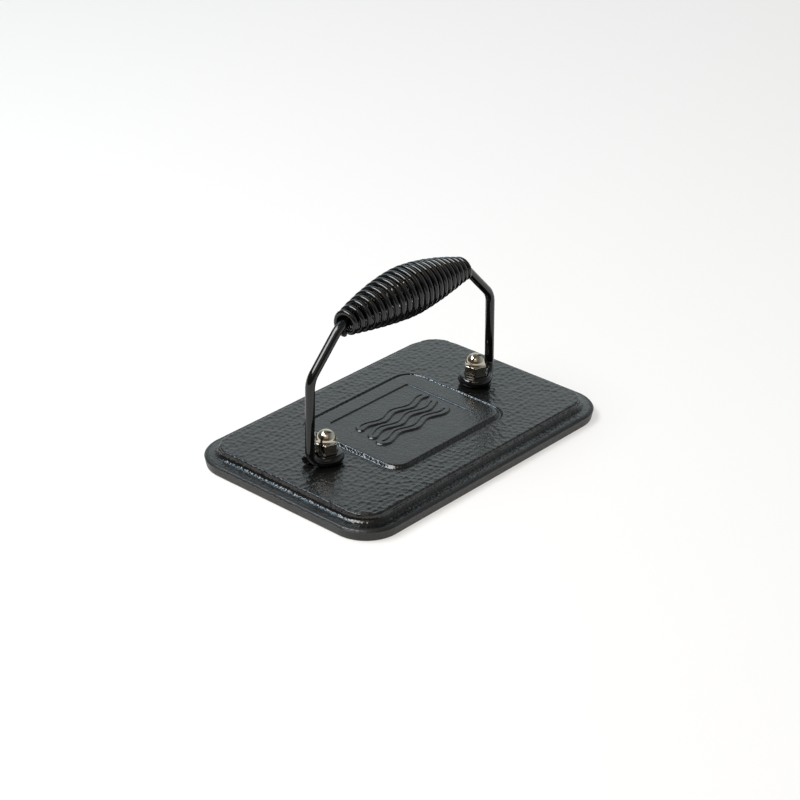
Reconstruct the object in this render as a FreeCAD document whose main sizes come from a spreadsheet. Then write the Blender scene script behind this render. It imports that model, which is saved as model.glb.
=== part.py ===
import FreeCAD, Part
import math
import os
import Sketcher
from FreeCAD import Placement, Rotation, Vector

# Grill press: a cast-iron plate with a bent-rod handle, held by two studs with cap nuts,
# and a barrel-shaped wire coil that turns freely on the handle as the hand grip. The barrel
# is arched a little upwards between its ends.
# Origin: centre of the plate's pressing face. +X runs along the plate and the grip, +Z is up.
# All lengths are in millimetres.

SIZES = {
    # cast plate
    "plate_length": 171.5,
    "plate_width": 114.3,
    "plate_corner": 18.4,
    "rim_height": 6.0,
    "rim_round": 1.4,
    "base_round": 0.7,
    "platform_top": 9.9,
    "platform_inset": 7.0,
    "platform_corner": 12.0,
    "platform_round": 0.8,
    "cove_radius": 2.6,
    # raised plaque in the middle of the plate, with a groove round it and a sunk panel
    "plaque_length": 75.2,
    "plaque_width": 60.8,
    "plaque_corner": 7.4,
    "plaque_rise": 1.0,
    "plaque_round": 0.4,
    "groove_width": 2.8,
    "groove_depth": 0.7,
    "groove_round": 0.4,
    "panel_length": 55.2,
    "panel_width": 44.2,
    "panel_corner": 1.5,
    "panel_depth": 0.5,
    # bosses and tapped holes for the studs
    "stud_half": 52.4,
    "boss_diameter": 15.0,
    "boss_rise": 0.2,
    "boss_fillet": 0.1,
    "stud_diameter": 6.0,
    "thread_gap": 0.05,
    "hole_depth": 7.5,
    # bent handle rod
    "rod_diameter": 4.5,
    "crown_height": 75.0,
    "crown_half": 42.4,
    "shoulder_height": 54.3,
    "shoulder_half": 62.3,
    "foot_half": 63.15,
    "rod_bend": 10.5,
    "foot_bend": 6.5,
    "eye_radius": 6.1,
    "tail_reach": 9.8,
    "tail_side": 3.6,
    # wound grip
    "coil_wire": 2.7,
    "coil_mid_diameter": 24.7,
    "coil_end_diameter": 11.7,
    "coil_pitch": 3.75,
    "coil_turns": 22.08,
    "coil_power": 1.6,
    "coil_arch": 2.0,
    "coil_drop": 0.35,
    "coil_centre": 0.3,
    "coil_start_angle": 250.0,
    # cap nuts
    "nut_flats": 10.0,
    "nut_hex_height": 6.1,
    "nut_height": 11.5,
    "nut_ball_diameter": 9.1,
    "nut_dome_taper": 9.0,
    "nut_dome_overlap": 1.0,
    "nut_seat_diameter": 9.4,
    "nut_seat_chamfer_angle": 30.0,
    "nut_crown_chamfer_angle": 15.0,
    "nut_chamfer_reach": 1.0,
    "nut_turned": 41.0,
    "nut_thread_depth": 7.6,
    "stud_engagement": 6.8,
    "stud_chamfer": 0.6,
}

POINTS_PER_TURN = 24    # points that the coil's centre line passes through in one turn
END_BLEND = 1.0         # stretch over which the barrel runs out into its straight ends

doc = FreeCAD.newDocument("GrillPress")
sheet = doc.addObject("Spreadsheet::Sheet", "sizes")
parts = []


def fill_sheet():
    for row, (alias, value) in enumerate(SIZES.items(), start=1):
        sheet.set("A%d" % row, alias)
        sheet.set("B%d" % row, str(value))
        sheet.setAlias("B%d" % row, alias)
    doc.recompute()


def size(alias):
    return float(sheet.get(alias))


def keep(item, label):
    item.Label = label
    parts.append(item)
    return item


def vector(x, y, z=0.0):
    return Vector(x, y, z)


# ---------------------------------------------------------------- sketch helpers

def origin_plane(body, role):
    for feature in body.Origin.OriginFeatures:
        if feature.Role == role:
            return feature
    raise ValueError("no origin plane " + role)


def sketch_on(body, role, name, offset=None):
    sketch = body.newObject("Sketcher::SketchObject", name)
    sketch.AttachmentSupport = [(origin_plane(body, role), "")]
    sketch.MapMode = "FlatFace"
    if offset:
        sketch.setExpression("AttachmentOffset.Base.z", offset)
    return sketch


def bind(sketch, constraint, expression):
    index = sketch.addConstraint(constraint)
    sketch.setExpression("Constraints[%d]" % index, expression)
    return index


def rounded_rectangle(sketch, length, width, radius):
    """Draw a centred rounded rectangle; the three arguments are expressions on the sheet."""
    half_x, half_y, corner = 20.0, 10.0, 3.0
    in_x, in_y = half_x - corner, half_y - corner
    line = Part.LineSegment
    sides = [
        line(vector(-in_x, -half_y), vector(in_x, -half_y)),
        line(vector(half_x, -in_y), vector(half_x, in_y)),
        line(vector(in_x, half_y), vector(-in_x, half_y)),
        line(vector(-half_x, in_y), vector(-half_x, -in_y)),
    ]
    centres = [(in_x, -in_y, 270), (in_x, in_y, 0), (-in_x, in_y, 90), (-in_x, -in_y, 180)]
    for side in sides:
        sketch.addGeometry(side, False)
    for x, y, start in centres:
        circle = Part.Circle(vector(x, y), vector(0, 0, 1), corner)
        arc = Part.ArcOfCircle(circle, math.radians(start), math.radians(start + 90))
        sketch.addGeometry(arc, False)
    for side in range(4):
        arc = 4 + side
        sketch.addConstraint(Sketcher.Constraint("Tangent", side, 2, arc, 1))
        sketch.addConstraint(Sketcher.Constraint("Tangent", arc, 2, (side + 1) % 4, 1))
    for side in (0, 2):
        sketch.addConstraint(Sketcher.Constraint("Horizontal", side))
    for side in (1, 3):
        sketch.addConstraint(Sketcher.Constraint("Vertical", side))
    for arc in (5, 6, 7):
        sketch.addConstraint(Sketcher.Constraint("Equal", 4, arc))
    sketch.addConstraint(Sketcher.Constraint("Symmetric", 5, 3, 7, 3, -1, 1))
    bind(sketch, Sketcher.Constraint("DistanceX", 3, 1, 1, 1, 2 * half_x), length)
    bind(sketch, Sketcher.Constraint("DistanceY", 0, 1, 2, 1, 2 * half_y), width)
    bind(sketch, Sketcher.Constraint("Radius", 4, corner), radius)


def circle_pair(sketch, half_spacing, diameter):
    """Draw two equal circles on the X axis, one each side of the origin."""
    for sign in (1, -1):
        circle = Part.Circle(vector(sign * 10, 0), vector(0, 0, 1), 2.0)
        index = sketch.addGeometry(circle, False)
        sketch.addConstraint(Sketcher.Constraint("PointOnObject", index, 3, -1))
        bind(sketch, Sketcher.Constraint("Diameter", index, 4.0), diameter)
        ends = (-1, 1, index, 3) if sign > 0 else (index, 3, -1, 1)
        bind(sketch, Sketcher.Constraint("DistanceX", *ends, 10.0), half_spacing)


def pad(body, sketch, length, name):
    feature = body.newObject("PartDesign::Pad", name)
    feature.Profile = sketch
    feature.setExpression("Length", length)
    doc.recompute()
    return feature


def pocket(body, sketch, depth, name):
    before = body.Shape.Volume
    feature = body.newObject("PartDesign::Pocket", name)
    feature.Profile = sketch
    feature.setExpression("Length", depth)
    doc.recompute()
    if body.Shape.Volume >= before:
        raise ValueError(name + " cuts nothing")
    return feature


def fillet(body, chosen, radius, name):
    """Round the edges of the body's last solid for which chosen(edge) is true."""
    base = body.Tip
    names = ["Edge%d" % (i + 1) for i, edge in enumerate(base.Shape.Edges) if chosen(edge)]
    if not names:
        raise ValueError(name + " finds no edge")
    feature = body.newObject("PartDesign::Fillet", name)
    feature.Base = (base, names)
    feature.setExpression("Radius", radius)
    doc.recompute()
    return feature


def level_edge(height, outline):
    """Test for an edge at one height that lies on a centred rounded-rectangle outline."""
    length, width, corner = outline

    def on_outline(point):
        over_x = abs(point.x) - (length / 2 - corner)
        over_y = abs(point.y) - (width / 2 - corner)
        outside = math.hypot(max(over_x, 0), max(over_y, 0))
        inside = min(max(over_x, over_y), 0)
        return abs(outside + inside - corner) < 0.02

    def test(edge):
        ends = [vertex.Point for vertex in edge.Vertexes]
        return all(abs(end.z - height) < 0.01 and on_outline(end) for end in ends)

    return test


# ---------------------------------------------------------------- cast plate

def make_plate():
    body = doc.addObject("PartDesign::Body", "press_plate")
    rim = (size("plate_length"), size("plate_width"), size("plate_corner"))
    inset = 2 * size("platform_inset")
    platform = (rim[0] - inset, rim[1] - inset, size("platform_corner"))
    plaque = (size("plaque_length"), size("plaque_width"), size("plaque_corner"))
    margin = size("groove_width")
    groove = (plaque[0] + 2 * margin, plaque[1] + 2 * margin, plaque[2] + margin)

    outline = sketch_on(body, "XY_Plane", "rim_outline")
    rounded_rectangle(outline, "sizes.plate_length", "sizes.plate_width", "sizes.plate_corner")
    pad(body, outline, "sizes.rim_height", "rim")

    raised = sketch_on(body, "XY_Plane", "platform_outline")
    rounded_rectangle(
        raised,
        "sizes.plate_length - 2 * sizes.platform_inset",
        "sizes.plate_width - 2 * sizes.platform_inset",
        "sizes.platform_corner",
    )
    pad(body, raised, "sizes.platform_top", "platform")
    fillet(body, level_edge(size("rim_height"), platform), "sizes.cove_radius", "cove")
    fillet(body, level_edge(size("rim_height"), rim), "sizes.rim_round", "rim_edge")
    fillet(body, level_edge(0.0, rim), "sizes.base_round", "base_edge")
    fillet(body, level_edge(size("platform_top"), platform), "sizes.platform_round", "platform_edge")

    channel = sketch_on(body, "XY_Plane", "groove_outline", "sizes.platform_top")
    rounded_rectangle(
        channel,
        "sizes.plaque_length + 2 * sizes.groove_width",
        "sizes.plaque_width + 2 * sizes.groove_width",
        "sizes.plaque_corner + sizes.groove_width",
    )
    pocket(body, channel, "sizes.groove_depth", "groove")
    fillet(body, level_edge(size("platform_top"), groove), "sizes.groove_round", "groove_edge")

    block = sketch_on(body, "XY_Plane", "plaque_outline")
    rounded_rectangle(block, "sizes.plaque_length", "sizes.plaque_width", "sizes.plaque_corner")
    pad(body, block, "sizes.platform_top + sizes.plaque_rise", "plaque")
    plaque_top = size("platform_top") + size("plaque_rise")
    fillet(body, level_edge(plaque_top, plaque), "sizes.plaque_round", "plaque_edge")
    panel = sketch_on(body, "XY_Plane", "panel_outline", "sizes.platform_top + sizes.plaque_rise")
    rounded_rectangle(panel, "sizes.panel_length", "sizes.panel_width", "sizes.panel_corner")
    pocket(body, panel, "sizes.panel_depth", "panel")

    seats = sketch_on(body, "XY_Plane", "boss_outline")
    circle_pair(seats, "sizes.stud_half", "sizes.boss_diameter")
    pad(body, seats, "sizes.platform_top + sizes.boss_rise", "bosses")
    boss_top = size("platform_top") + size("boss_rise")

    def boss_rim(edge):
        is_circle = isinstance(edge.Curve, Part.Circle)
        return is_circle and abs(edge.CenterOfMass.z - boss_top) < 0.01

    fillet(body, boss_rim, "sizes.boss_fillet", "boss_edge")
    holes = sketch_on(body, "XY_Plane", "hole_centres", "sizes.platform_top + sizes.boss_rise")
    circle_pair(holes, "sizes.stud_half", "sizes.stud_diameter + 2 * sizes.thread_gap")
    pocket(body, holes, "sizes.hole_depth", "stud_holes")
    keep(body, "press_plate")


# ---------------------------------------------------------------- bent handle rod

def eye_height():
    """Height of the rod's centre line where it lies on a boss as a flat eye."""
    return size("platform_top") + size("boss_rise") + size("rod_diameter") / 2


def seat_height():
    """Height at which a nut's seat ring rests on the inner shoulder of the round eye."""
    rod = size("rod_diameter") / 2
    step = size("eye_radius") - size("nut_seat_diameter") / 2
    return eye_height() + math.sqrt(rod ** 2 - step ** 2)


def tangent_point(centre, radius, outside, turn):
    """Point where a line from outside touches a level circle, on the side given by turn."""
    reach = outside - centre
    distance = math.hypot(reach.x, reach.y)
    angle = math.atan2(reach.y, reach.x) + turn * math.acos(radius / distance)
    return centre + vector(math.cos(angle), math.sin(angle)) * radius


def rounded_edges(points, bends):
    """Edges along a run of points, with an arc of the given radius at each inner point."""
    edges = []
    start = points[0]
    for before, corner, after, bend in zip(points, points[1:], points[2:], bends):
        back = (before - corner).normalize()
        ahead = (after - corner).normalize()
        half = back.getAngle(ahead) / 2
        trim = bend / math.tan(half)
        first = corner + back * trim
        last = corner + ahead * trim
        bisector = (back + ahead).normalize()
        middle = corner + bisector * (bend / math.sin(half) - bend)
        edges.append(Part.LineSegment(start, first).toShape())
        edges.append(Part.Arc(first, middle, last).toShape())
        start = last
    edges.append(Part.LineSegment(start, points[-1]).toShape())
    return edges


def half_rod_edges():
    """Centre line of the rod's +X half, from the middle of the crown to the tail of the eye."""
    level = eye_height()
    stud = vector(size("stud_half"), 0, level)
    foot = vector(size("foot_half"), 0, level)
    tail = stud + vector(size("tail_reach"), size("tail_side"))
    radius = size("eye_radius")
    joins = tangent_point(stud, radius, foot, -1)
    leaves = tangent_point(stud, radius, tail, 1)
    points = [
        vector(0, 0, size("crown_height")),
        vector(size("crown_half"), 0, size("crown_height")),
        vector(size("shoulder_half"), 0, size("shoulder_height")),
        foot,
        joins,
    ]
    bends = [size("rod_bend"), size("rod_bend"), size("foot_bend")]
    edges = rounded_edges(points, bends)
    edges.append(Part.Arc(joins, stud - vector(radius, 0), leaves).toShape())
    edges.append(Part.LineSegment(leaves, tail).toShape())
    return edges


def section_circle(name, diameter, centre, direction):
    circle = doc.addObject("Part::Circle", name)
    circle.setExpression("Radius", diameter + " / 2")
    circle.Placement = Placement(centre, Rotation(vector(0, 0, 1), direction))
    return circle


def sweep(name, section, spine, frenet):
    feature = doc.addObject("Part::Sweep", name)
    feature.Sections = [section]
    feature.Spine = (spine, ["Edge%d" % (i + 1) for i in range(len(spine.Shape.Edges))])
    feature.Solid = True
    feature.Frenet = frenet
    doc.recompute()
    return feature


def make_rod():
    spine = doc.addObject("Part::Feature", "rod_centre_line")
    spine.Shape = Part.Wire(half_rod_edges())
    top = vector(0, 0, size("crown_height"))
    section = section_circle("rod_section", "sizes.rod_diameter", top, vector(1, 0, 0))
    half = sweep("rod_half", section, spine, False)
    area = math.pi * size("rod_diameter") ** 2 / 4
    print("rod half: volume / (section x length) = %.4f" % (half.Shape.Volume / area / spine.Shape.Length))
    other = doc.addObject("Part::Mirroring", "rod_other_half")
    other.Source = half
    other.Normal = vector(1, 0, 0)
    rod = doc.addObject("Part::Fuse", "handle_rod")
    rod.Base = half
    rod.Tool = other
    rod.Refine = True
    doc.recompute()
    keep(rod, "handle_rod")


# ---------------------------------------------------------------- wound grip

def coil_radius(along):
    """Radius of the wire's centre line at a distance along the grip from its middle."""
    wire = size("coil_wire")
    full = (size("coil_mid_diameter") - wire) / 2
    least = (size("coil_end_diameter") - wire) / 2
    reach = size("coil_pitch") * size("coil_turns") / 2 - END_BLEND
    eased = reach - END_BLEND * math.log(1 + math.exp((reach - abs(along)) / END_BLEND))
    return full - (full - least) * (max(eased, 0) / reach) ** size("coil_power")


def coil_points():
    turns = size("coil_turns")
    pitch = size("coil_pitch")
    steps = int(turns * POINTS_PER_TURN)
    axis_height = size("crown_height") - size("coil_drop")
    points = []
    for step in range(steps + 1):
        share = step / steps
        along = (share - 0.5) * turns * pitch
        angle = math.radians(size("coil_start_angle") + 360 * turns * share)
        radius = coil_radius(along)
        height = axis_height + size("coil_arch") * (1 - (2 * share - 1) ** 2) + radius * math.sin(angle)
        points.append(vector(size("coil_centre") + along, radius * math.cos(angle), height))
    return points


def make_coil():
    curve = Part.BSplineCurve()
    curve.interpolate(coil_points())
    spine = doc.addObject("Part::Feature", "coil_centre_line")
    spine.Shape = Part.Wire([curve.toShape()])
    start = curve.value(curve.FirstParameter)
    direction = curve.tangent(curve.FirstParameter)[0]
    section = section_circle("coil_section", "sizes.coil_wire", start, direction)
    coil = sweep("grip_coil", section, spine, True)
    area = math.pi * size("coil_wire") ** 2 / 4
    print("coil: volume / (section x length) = %.4f" % (coil.Shape.Volume / area / spine.Shape.Length))
    keep(coil, "grip_coil")


# ---------------------------------------------------------------- studs and cap nuts

def make_stud(label, side):
    stud = doc.addObject("Part::Cylinder", label + "_rod")
    stud.setExpression("Radius", "sizes.stud_diameter / 2")
    stud.setExpression(
        "Height",
        "sizes.stud_engagement + sizes.hole_depth - sizes.stud_chamfer + sizes.rod_diameter / 2"
        " + sqrt((sizes.rod_diameter / 2)^2 - (sizes.eye_radius - sizes.nut_seat_diameter / 2)^2)",
    )
    foot = size("platform_top") + size("boss_rise") - size("hole_depth") + size("stud_chamfer")
    stud.Placement = Placement(vector(side * size("stud_half"), 0, foot), Rotation())
    doc.recompute()
    ends = doc.addObject("Part::Chamfer", label)
    ends.Base = stud
    chamfer = size("stud_chamfer")
    circles = [i + 1 for i, edge in enumerate(stud.Shape.Edges) if isinstance(edge.Curve, Part.Circle)]
    ends.Edges = [(index, chamfer, chamfer) for index in circles]
    doc.recompute()
    keep(ends, label)


def hexagon(sketch, flats):
    """Draw a centred hexagon, with a corner on +X, by its distance across flats."""
    radius = 5.0
    corners = [vector(radius * math.cos(math.radians(60 * i)), radius * math.sin(math.radians(60 * i)))
               for i in range(6)]
    for i in range(6):
        sketch.addGeometry(Part.LineSegment(corners[i], corners[(i + 1) % 6]), False)
    guide = sketch.addGeometry(Part.Circle(vector(0, 0), vector(0, 0, 1), radius), True)
    for i in range(6):
        sketch.addConstraint(Sketcher.Constraint("Coincident", i, 2, (i + 1) % 6, 1))
        sketch.addConstraint(Sketcher.Constraint("PointOnObject", i, 1, guide))
    for i in range(1, 6):
        sketch.addConstraint(Sketcher.Constraint("Equal", 0, i))
    sketch.addConstraint(Sketcher.Constraint("Coincident", guide, 3, -1, 1))
    sketch.addConstraint(Sketcher.Constraint("PointOnObject", 0, 1, -1))
    bind(sketch, Sketcher.Constraint("Radius", guide, radius), flats + " / (2 * cos(30 deg))")


def profile(sketch, points):
    """Draw a closed outline through fixed points of the XZ plane."""
    count = len(points)
    for i in range(count):
        sketch.addGeometry(Part.LineSegment(vector(*points[i]), vector(*points[(i + 1) % count])), False)
    for i in range(count):
        sketch.addConstraint(Sketcher.Constraint("Coincident", i, 2, (i + 1) % count, 1))


def dome_shoulder():
    """Point of the dome's half outline where its tapered side meets the ball."""
    radius = size("nut_ball_diameter") / 2
    taper = math.radians(size("nut_dome_taper"))
    return vector(radius * math.cos(taper), size("nut_height") - radius * (1 - math.sin(taper)))


def dome_side_radius(height):
    """Radius of the dome's tapered side at a height above the nut's seat."""
    shoulder = dome_shoulder()
    return shoulder.x + (shoulder.y - height) * math.tan(math.radians(size("nut_dome_taper")))


def make_nut(label, side):
    body = doc.addObject("PartDesign::Body", label)
    outline = sketch_on(body, "XY_Plane", label + "_hexagon")
    hexagon(outline, "sizes.nut_flats")
    pad(body, outline, "sizes.nut_hex_height", label + "_hex")

    dome = sketch_on(body, "XZ_Plane", label + "_dome_half")
    radius = size("nut_ball_diameter") / 2
    taper = math.radians(size("nut_dome_taper"))
    top = size("nut_height")
    hex_top = size("nut_hex_height")
    inside = hex_top - size("nut_dome_overlap")
    foot = vector(dome_side_radius(inside), inside)
    dome.addGeometry(Part.LineSegment(vector(0, inside), foot), False)
    dome.addGeometry(Part.LineSegment(foot, dome_shoulder()), False)
    ball = Part.Circle(vector(0, top - radius), vector(0, 0, 1), radius)
    dome.addGeometry(Part.ArcOfCircle(ball, taper, math.pi / 2), False)
    dome.addGeometry(Part.LineSegment(vector(0, top), vector(0, inside)), False)
    dome.addConstraint(Sketcher.Constraint("Coincident", 0, 2, 1, 1))
    dome.addConstraint(Sketcher.Constraint("Tangent", 1, 2, 2, 1))
    dome.addConstraint(Sketcher.Constraint("Coincident", 2, 2, 3, 1))
    dome.addConstraint(Sketcher.Constraint("Coincident", 3, 2, 0, 1))
    dome.addConstraint(Sketcher.Constraint("Horizontal", 0))
    dome.addConstraint(Sketcher.Constraint("PointOnObject", 3, 1, -2))
    dome.addConstraint(Sketcher.Constraint("PointOnObject", 3, 2, -2))
    dome.addConstraint(Sketcher.Constraint("PointOnObject", 2, 3, -2))
    bind(dome, Sketcher.Constraint("Radius", 2, radius), "sizes.nut_ball_diameter / 2")
    bind(dome, Sketcher.Constraint("Angle", 1, math.pi / 2 + taper), "90 + sizes.nut_dome_taper")
    bind(dome, Sketcher.Constraint("DistanceY", -1, 1, 3, 1, top), "sizes.nut_height")
    overlap = "sizes.nut_hex_height - sizes.nut_dome_overlap"
    bind(dome, Sketcher.Constraint("DistanceY", -1, 1, 3, 2, inside), overlap)
    turned = body.newObject("PartDesign::Revolution", label + "_dome")
    turned.Profile = dome
    turned.ReferenceAxis = (dome, ["V_Axis"])
    turned.Angle = 360
    doc.recompute()

    corner_radius = size("nut_flats") / (2 * math.cos(math.radians(30)))
    seat_fall = math.tan(math.radians(size("nut_seat_chamfer_angle")))
    crown_fall = math.tan(math.radians(size("nut_crown_chamfer_angle")))
    seat = size("nut_seat_diameter") / 2
    crown = dome_side_radius(hex_top)
    far = corner_radius + size("nut_chamfer_reach")
    cuts = {
        "seat": [(seat, 0), (far, 0), (far, (far - seat) * seat_fall)],
        "crown": [(crown, hex_top), (far, hex_top), (far, hex_top - (far - crown) * crown_fall)],
    }
    for name, points in cuts.items():
        before = body.Shape.Volume
        section = sketch_on(body, "XZ_Plane", "%s_%s_section" % (label, name))
        profile(section, points)
        groove = body.newObject("PartDesign::Groove", "%s_%s_chamfer" % (label, name))
        groove.Profile = section
        groove.ReferenceAxis = (section, ["V_Axis"])
        groove.Angle = 360
        doc.recompute()
        if body.Shape.Volume >= before:
            raise ValueError(name + " chamfer cuts nothing")

    bore = sketch_on(body, "XY_Plane", label + "_bore_circle")
    ring = bore.addGeometry(Part.Circle(vector(0, 0), vector(0, 0, 1), 3.0), False)
    bore.addConstraint(Sketcher.Constraint("Coincident", ring, 3, -1, 1))
    bind(bore, Sketcher.Constraint("Diameter", ring, 6.0), "sizes.stud_diameter + 2 * sizes.thread_gap")
    before = body.Shape.Volume
    hole = body.newObject("PartDesign::Pocket", label + "_bore")
    hole.Profile = bore
    hole.Reversed = True
    hole.setExpression("Length", "sizes.nut_thread_depth")
    doc.recompute()
    if body.Shape.Volume >= before:
        raise ValueError("nut bore cuts nothing")
    turn = Rotation(vector(0, 0, 1), size("nut_turned"))
    body.Placement = Placement(vector(side * size("stud_half"), 0, seat_height()), turn)
    keep(body, label)


# ---------------------------------------------------------------- checks and export

def check_and_write():
    doc.recompute()
    for item in doc.Objects:
        if "Invalid" in item.State or "Error" in item.State:
            raise ValueError("%s is %s" % (item.Label, item.State))
    for item in parts:
        if item.Shape.isNull() or not item.Shape.isValid() or not item.Shape.Solids:
            raise ValueError(item.Label + " has no valid solid")
    os.makedirs("parts", exist_ok=True)
    for item in parts:
        item.Shape.exportStep("parts/%s.step" % item.Label)
        box = item.Shape.BoundBox
        print("%-14s solids %d  volume %9.1f  x %7.2f %7.2f  y %7.2f %7.2f  z %6.2f %6.2f" % (
            item.Label, len(item.Shape.Solids), item.Shape.Volume,
            box.XMin, box.XMax, box.YMin, box.YMax, box.ZMin, box.ZMax))


fill_sheet()
make_plate()
make_rod()
make_coil()
for suffix, sign in (("left", -1), ("right", 1)):
    make_stud("stud_" + suffix, sign)
    make_nut("cap_nut_" + suffix, sign)
check_and_write()
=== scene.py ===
import math

import bpy
import numpy as np
from mathutils import Matrix, Vector


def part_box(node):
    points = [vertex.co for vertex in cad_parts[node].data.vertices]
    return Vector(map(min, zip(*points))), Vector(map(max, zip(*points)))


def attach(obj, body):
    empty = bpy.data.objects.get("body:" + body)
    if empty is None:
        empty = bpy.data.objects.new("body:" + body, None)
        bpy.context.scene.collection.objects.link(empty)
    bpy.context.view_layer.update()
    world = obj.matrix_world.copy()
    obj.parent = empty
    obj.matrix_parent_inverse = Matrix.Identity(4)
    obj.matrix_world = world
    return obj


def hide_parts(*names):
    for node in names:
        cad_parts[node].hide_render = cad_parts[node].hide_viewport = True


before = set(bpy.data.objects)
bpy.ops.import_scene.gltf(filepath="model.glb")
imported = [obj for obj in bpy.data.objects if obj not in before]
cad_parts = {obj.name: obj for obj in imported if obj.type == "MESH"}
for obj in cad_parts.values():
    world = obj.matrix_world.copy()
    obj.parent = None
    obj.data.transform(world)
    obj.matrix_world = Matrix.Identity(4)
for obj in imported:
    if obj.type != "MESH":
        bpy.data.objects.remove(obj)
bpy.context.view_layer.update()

# Looks of the grill press: a cast-iron plate with a hammered top, a bent-rod handle held by
# two cap nuts, and a barrel-shaped wire coil that turns on the handle. Sizes are in
# millimetres, in the frame of the CAD model, and MM turns them into Blender's metres.
MM = 0.001


def box_mm(node):
    low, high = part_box(node)
    return low / MM, high / MM


_, PLATE_HIGH = box_mm("press_plate")
ROD_LOW, ROD_HIGH = box_mm("handle_rod")
NUT_LOW, NUT_HIGH = box_mm("cap_nut_right")
STUD_LOW, STUD_HIGH = box_mm("stud_right")

BOSS_TOP = ROD_LOW.z
STUD_X = (STUD_LOW.x + STUD_HIGH.x) / 2


# ---------------------------------------------------------------- meshes

NOISE_CELLS = 64            # cells along a side of the repeating noise table


def new_object(name, vertices, faces):
    """Make a smooth-shaded object from vertices in millimetres."""
    mesh = bpy.data.meshes.new(name)
    mesh.from_pydata([tuple(v) for v in np.asarray(vertices) * MM], [], faces)
    mesh.validate()
    mesh.polygons.foreach_set("use_smooth", [True] * len(mesh.polygons))
    mesh.update()
    made = bpy.data.objects.new(name, mesh)
    bpy.context.scene.collection.objects.link(made)
    return made


def closed_strips(rings, sides):
    """Faces between rings of vertices, with a face over the first and the last ring."""
    faces = []
    for ring in range(rings - 1):
        for k in range(sides):
            a = ring * sides + k
            b = ring * sides + (k + 1) % sides
            faces.append((a, b, b + sides, a + sides))
    faces.append(tuple(range(sides - 1, -1, -1)))
    faces.append(tuple(range((rings - 1) * sides, rings * sides)))
    return faces


def smooth_step(value):
    value = np.clip(value, 0.0, 1.0)
    return value * value * (3 - 2 * value)


def inside_wall(distance, width):
    """1 inside an outline and 0 outside it, with a sloped wall of that width between."""
    return smooth_step(0.5 - distance / width)


def outline_distance(x, y, half_x, half_y, corner):
    """Distance to a centred rounded rectangle, negative inside it."""
    over_x = np.abs(x) - (half_x - corner)
    over_y = np.abs(y) - (half_y - corner)
    outside = np.hypot(np.maximum(over_x, 0), np.maximum(over_y, 0))
    inside = np.minimum(np.maximum(over_x, over_y), 0)
    return outside + inside - corner


def soft_noise(x, y, pitch, seed):
    """Smooth random heights from -1 to 1 on a square lattice of that pitch."""
    cells = NOISE_CELLS
    table = np.random.RandomState(seed).uniform(-1, 1, (cells, cells))
    u = x / pitch + cells // 2
    v = y / pitch + cells // 2
    i = np.floor(u).astype(int)
    j = np.floor(v).astype(int)
    s = smooth_step(u - i)
    t = smooth_step(v - j)
    this_i, next_i = i % cells, (i + 1) % cells
    this_j, next_j = j % cells, (j + 1) % cells
    near = table[this_i, this_j] * (1 - s) + table[next_i, this_j] * s
    far = table[this_i, next_j] * (1 - s) + table[next_i, next_j] * s
    return near * (1 - t) + far * t


# ---------------------------------------------------------------- cast plate

HALF_LENGTH = PLATE_HIGH.x
HALF_WIDTH = PLATE_HIGH.y
PLATE_CORNER = 18.4
BOSS_RISE = 0.2             # round seats under the ends of the handle
BOSS_RADIUS = 7.5
BOSS_WALL = 0.5
PLATFORM_TOP = BOSS_TOP - BOSS_RISE
PLATFORM_CORNER = 12.0
PLATFORM_INSET = 7.0
PLATFORM_ROUND = 0.8

# The plaque, the groove round it and the sunk panel. A wall is the width of a sloped side.
PLAQUE_HALF_X, PLAQUE_HALF_Y, PLAQUE_CORNER = 37.6, 30.4, 7.4
PLAQUE_RISE = 0.9
PLAQUE_WALL = 2.2
PLAQUE_WALL_MIDDLE = 0.4    # how far outside the plaque's outline its wall is centred
GROOVE_WIDTH = 2.8
GROOVE_DEPTH = 0.7
GROOVE_WALL = 0.8
PANEL_HALF_X, PANEL_HALF_Y, PANEL_CORNER = 27.6, 22.1, 1.5
PANEL_DEPTH = 0.5
PANEL_WALL = 0.5

# Hammered skin. Jitter and reach are shares of the pitch.
DIMPLE_PITCH = 2.95
DIMPLE_DEPTH = 0.22
DIMPLE_JITTER = 0.26
DIMPLE_REACH = 0.66
DIMPLE_SHALLOWEST = 0.6
DIMPLE_TABLE = 96
DIMPLE_SEED = 7
DIMPLE_FADE_AT_GROOVE = 1.2
DIMPLE_GAP_AT_BOSS = 0.3
DIMPLE_FADE_AT_BOSS = 1.5

# Wavy strips in the panel, each with a shallow streak along it.
RASHER_HALF_LENGTH = 22.0
RASHER_HALF_WIDTH = 2.7
RASHER_SPACING = 7.6
RASHER_SHIFT = 1.5
RASHER_WAVE = 1.3
RASHER_WAVE_LENGTH = 3.1    # over one radian
RASHER_RISE = 0.7
RASHER_WALL = 0.6
STREAK_OFFSET = 0.3
STREAK_HALF_WIDTH = 0.35
STREAK_WALL = 0.5
STREAK_DEPTH = 0.55         # share of the strip's rise

# Unevenness of the casting. A noise is (size, pitch, seed).
BROAD_WAVES = (0.05, 17.0, 3)
NARROW_WAVES = (0.02, 5.0, 4)
COARSE_SAND = (0.6, 1.3, 5)
FINE_SAND = (0.4, 0.7, 8)
SAND_DEPTH = 0.03
SMOOTHED_BY_DIMPLES = 0.6   # share of the sand that the hammered skin hides
SANDY_BAND_MIDDLE = 1.0     # distances outside the plaque's outline
SANDY_BAND_HALF = 1.6
SANDY_BAND_WALL = 0.6

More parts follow.
